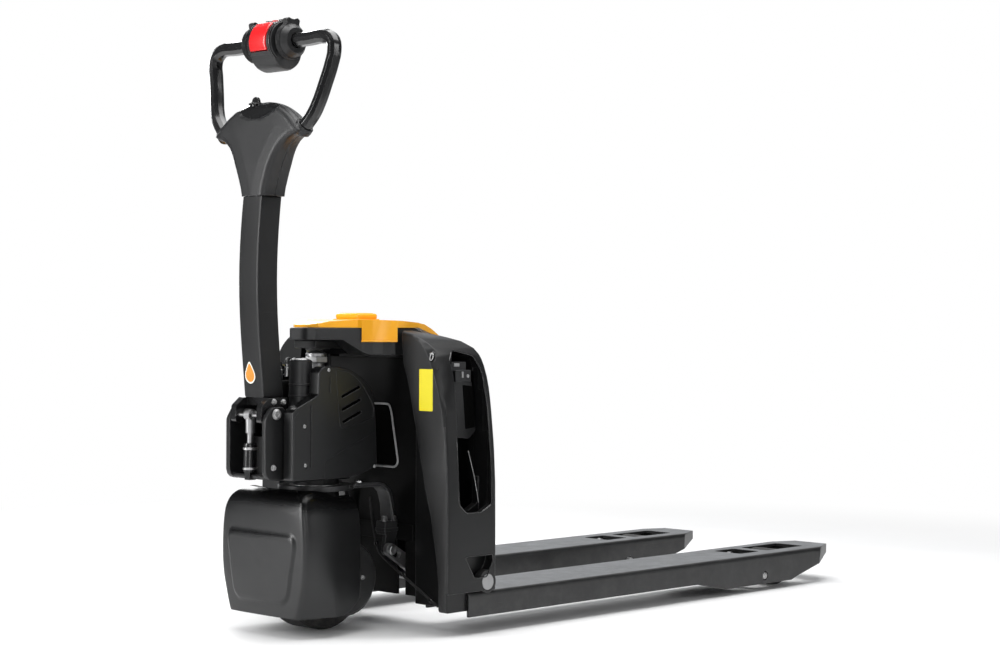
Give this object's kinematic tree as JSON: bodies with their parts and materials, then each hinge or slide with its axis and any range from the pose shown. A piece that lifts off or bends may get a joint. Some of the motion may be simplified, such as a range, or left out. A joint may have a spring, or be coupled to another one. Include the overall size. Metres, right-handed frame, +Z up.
{
  "type": "electric pallet jack",
  "caption": "Walk-behind electric pallet jack with two low forks, a steered drive unit, an upright tiller with a loop handle, and a lift-out battery under an orange lid.",
  "frame": {"origin": "on the floor, under the middle of the overall length and width", "axes": "+X towards the fork tips, +Z up, -Y on the right-hand side of someone who faces along +X"},
  "size_m": [1.55, 0.56, 1.1795],
  "materials": {
    "powder_coat": "satin charcoal-black powder coat",
    "textured_plastic": "fine-grained charcoal plastic",
    "gloss_black": "smooth gloss black",
    "orange_plastic": "satin orange plastic",
    "red_plastic": "gloss red plastic",
    "zinc_steel": "zinc-plated steel",
    "polyurethane": "black polyurethane tread",
    "cast_housing": "black-painted casting"
  },
  "bodies": {
    "yoke": {"yoke_bracket": "powder_coat", "yoke_pin_left": "zinc_steel", "yoke_pin_right": "zinc_steel", "slew_bearing": "zinc_steel"},
    "power_unit": {"drive_cover": "textured_plastic", "drive_bracket": "cast_housing", "drive_motor": "cast_housing", "gearbox": "cast_housing", "drive_axle": "zinc_steel", "steering_column": "cast_housing", "lift_cylinder": "powder_coat", "pump_motor": "textured_plastic", "oil_tank": "powder_coat", "side_cover_left": "textured_plastic", "side_cover_right": "textured_plastic", "tiller_base": "powder_coat", "tiller_pivot_pin": "zinc_steel"},
    "drive_wheel": {"drive_wheel_hub": "cast_housing", "drive_wheel_tyre": "polyurethane"},
    "plunger": {"lift_plunger": "zinc_steel"},
    "spring_cylinder": {"gas_spring_cylinder": "gloss_black"},
    "spring_rod": {"gas_spring_rod": "zinc_steel"},
    "tiller": {"tiller_tube": "powder_coat", "tiller_bracket": "gloss_black", "gas_spring_pin": "zinc_steel", "handle_shell_front": "textured_plastic", "handle_shell_back": "textured_plastic", "handle_loop": "gloss_black", "control_barrel": "textured_plastic"},
    "throttle": {"throttle_left": "textured_plastic", "throttle_right": "textured_plastic"},
    "belly_switch": {"belly_button": "red_plastic"},
    "raise_switch": {"raise_button": "gloss_black"},
    "lower_switch": {"lower_button": "gloss_black"},
    "horn_switch": {"horn_button": "red_plastic"},
    "key": {"key_switch": "gloss_black"},
    "fork_frame": {"fork_left": "powder_coat", "fork_right": "powder_coat", "side_arm_left": "powder_coat", "side_arm_right": "powder_coat", "front_wall": "powder_coat", "heel_plate": "powder_coat", "crosshead": "powder_coat", "top_housing": "textured_plastic", "bogie_pin_left": "zinc_steel", "bogie_pin_right": "zinc_steel"},
    "battery": {"battery_case": "textured_plastic", "battery_lid": "orange_plastic", "battery_grip": "orange_plastic"},
    "rocker": {"rocker_shaft": "zinc_steel"},
    "rod_left": {"push_rod_left": "zinc_steel"},
    "rod_right": {"push_rod_right": "zinc_steel"},
    "bogie_arm_left": {"bogie_left": "cast_housing"},
    "bogie_arm_right": {"bogie_right": "cast_housing"},
    "load_roller_left": {"load_wheel_left": "polyurethane", "load_axle_left": "zinc_steel"},
    "load_roller_right": {"load_wheel_right": "polyurethane", "load_axle_right": "zinc_steel"}
  },
  "joints": [
    {"name": "steering", "type": "hinge", "parent": "yoke", "child": "power_unit", "pos_m": [-0.598, 0, 0.277], "axis": [0, 0, 1], "range_deg": [-70, 70]},
    {"name": "lift", "type": "slide", "parent": "yoke", "child": "fork_frame", "axis": [0, 0, 1], "range_m": [0, 0.105]},
    {"name": "plunger_rise", "type": "slide", "parent": "power_unit", "child": "plunger", "axis": [0, 0, 1], "range_m": [0, 0.105]},
    {"name": "drive_wheel_spin", "type": "hinge", "parent": "power_unit", "child": "drive_wheel", "pos_m": [-0.598, 0, 0.105], "axis": [0, 1, 0], "continuous": true},
    {"name": "tiller_tilt", "type": "hinge", "parent": "power_unit", "child": "tiller", "pos_m": [-0.7465, 0, 0.425], "axis": [0, -1, 0], "range_deg": [0, 75]},
    {"name": "spring_swing", "type": "hinge", "parent": "power_unit", "child": "spring_cylinder", "pos_m": [-0.762, 0, 0.306], "axis": [0, 1, 0], "range_deg": [0, 7.7]},
    {"name": "spring_stroke", "type": "slide", "parent": "spring_cylinder", "child": "spring_rod", "axis": [0, 0, 1], "range_m": [-0.016, 0]},
    {"name": "throttle_turn", "type": "hinge", "parent": "tiller", "child": "throttle", "pos_m": [-0.708, 0, 1.135], "axis": [0, 1, 0], "range_deg": [-28, 28]},
    {"name": "belly_press", "type": "slide", "parent": "tiller", "child": "belly_switch", "axis": [1, 0, 0], "range_m": [0, 0.006]},
    {"name": "raise_press", "type": "slide", "parent": "tiller", "child": "raise_switch", "axis": [0, 0, -1], "range_m": [0, 0.003]},
    {"name": "lower_press", "type": "slide", "parent": "tiller", "child": "lower_switch", "axis": [0, 0, -1], "range_m": [0, 0.003]},
    {"name": "horn_press", "type": "slide", "parent": "tiller", "child": "horn_switch", "axis": [0, 0, -1], "range_m": [0, 0.003]},
    {"name": "key_turn", "type": "hinge", "parent": "tiller", "child": "key", "pos_m": [-0.733, 0.022, 1.018], "axis": [0, 0, 1], "range_deg": [0, 90]},
    {"name": "battery_lift_out", "type": "slide", "parent": "fork_frame", "child": "battery", "axis": [0, 0, 1], "range_m": [0, 0.3]},
    {"name": "rocker_turn", "type": "hinge", "parent": "fork_frame", "child": "rocker", "pos_m": [-0.398, 0, 0.098], "axis": [0, -1, 0], "range_deg": [0, 66]},
    {"name": "push_rod_left_slide", "type": "slide", "parent": "fork_frame", "child": "rod_left", "axis": [1, 0, 0], "range_m": [0, 0.0436]},
    {"name": "bogie_left_swing", "type": "hinge", "parent": "fork_frame", "child": "bogie_arm_left", "pos_m": [0.491, 0.198, 0.033], "axis": [0, 1, 0], "range_deg": [0, 64.5]},
    {"name": "load_wheel_left_spin", "type": "hinge", "parent": "bogie_arm_left", "child": "load_roller_left", "pos_m": [0.60328, 0.198, 0.04], "axis": [0, 1, 0], "continuous": true},
    {"name": "push_rod_right_slide", "type": "slide", "parent": "fork_frame", "child": "rod_right", "axis": [1, 0, 0], "range_m": [0, 0.0436]},
    {"name": "bogie_right_swing", "type": "hinge", "parent": "fork_frame", "child": "bogie_arm_right", "pos_m": [0.491, -0.198, 0.033], "axis": [0, 1, 0], "range_deg": [0, 64.5]},
    {"name": "load_wheel_right_spin", "type": "hinge", "parent": "bogie_arm_right", "child": "load_roller_right", "pos_m": [0.60328, -0.198, 0.04], "axis": [0, 1, 0], "continuous": true}
  ],
  "couplings": [
    {"joint": "plunger_rise", "follows": "lift", "ratio": 1},
    {"joint": "rocker_turn", "follows": "lift", "rad_per_m": 10.954},
    {"joint": "push_rod_left_slide", "follows": "lift", "ratio": 0.4143},
    {"joint": "push_rod_right_slide", "follows": "lift", "ratio": 0.4143},
    {"joint": "bogie_left_swing", "follows": "lift", "rad_per_m": 10.671},
    {"joint": "bogie_right_swing", "follows": "lift", "rad_per_m": 10.671},
    {"joint": "spring_swing", "follows": "tiller_tilt", "ratio": 0.1013},
    {"joint": "spring_stroke", "follows": "tiller_tilt", "m_per_rad": -0.01199}
  ]
}
